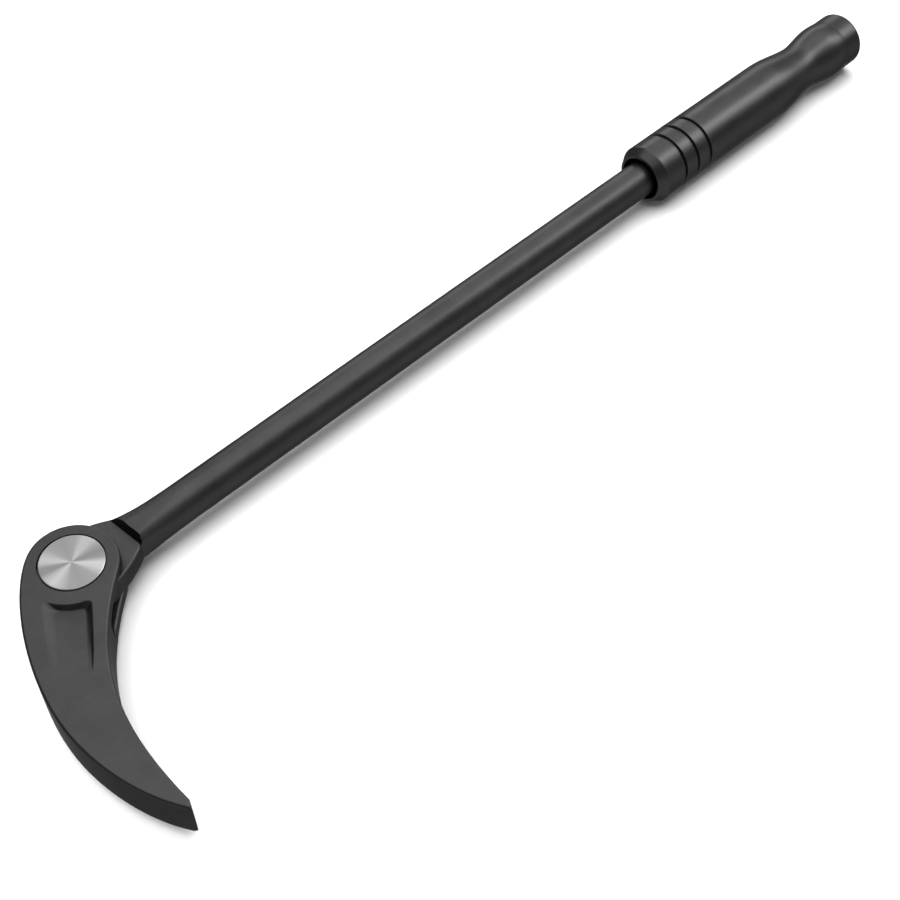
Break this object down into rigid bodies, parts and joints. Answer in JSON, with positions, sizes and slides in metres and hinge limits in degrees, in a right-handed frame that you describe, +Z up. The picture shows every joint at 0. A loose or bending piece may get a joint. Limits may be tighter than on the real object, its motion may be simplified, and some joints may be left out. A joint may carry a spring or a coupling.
{
  "type": "indexing pry bar",
  "caption": "Pry bar with a crescent claw on a push-button locking pivot, a long round bar and a turned grip with three grooves.",
  "frame": {"origin": "centre of the underside of the bounding box: the ground under the middle of the tool as it lies flat on its grip", "axes": "+X runs along the bar from the pivot to the grip, +Z is up along the pivot axis on the button's side, and the claw reaches towards -Y"},
  "size_m": [0.3566, 0.0886, 0.0198],
  "materials": {
    "black_head": "satin black coating on forged steel",
    "black_bar": "satin black coating on steel bar",
    "black_grip": "satin black coating on turned steel",
    "black_cover": "satin black coating",
    "spun_steel": "turned face with fine circular lines",
    "hardened_steel": "hardened and oiled",
    "spring_steel": "oiled spring steel",
    "zinc_plate": "bright zinc plate",
    "black_nylon": "black nylon"
  },
  "bodies": {
    "bar": {"bar": "black_bar", "grip_sleeve": "black_grip", "grip_bush": "black_nylon", "grip_washer": "zinc_plate", "grip_nut": "zinc_plate", "grip_end_plug": "black_grip"},
    "head": {"claw_head": "black_head", "spring_cover": "black_cover", "retaining_ring": "spring_steel", "return_spring": "spring_steel"},
    "lock": {"lock_gear": "hardened_steel", "release_button": "spun_steel", "button_screw": "zinc_plate"}
  },
  "joints": [
    {"name": "head_pivot", "type": "hinge", "parent": "bar", "child": "head", "pos_m": [-0.1481, 0.0319, 0.0099], "axis": [0, 0, 1], "range_deg": [-120, 60]},
    {"name": "button_press", "type": "slide", "parent": "bar", "child": "lock", "axis": [0, 0, -1], "range_m": [0, 0.0027], "stiffness_N_per_m": 4000, "springref_m": -0.0015, "deforming": ["return_spring"]}
  ]
}
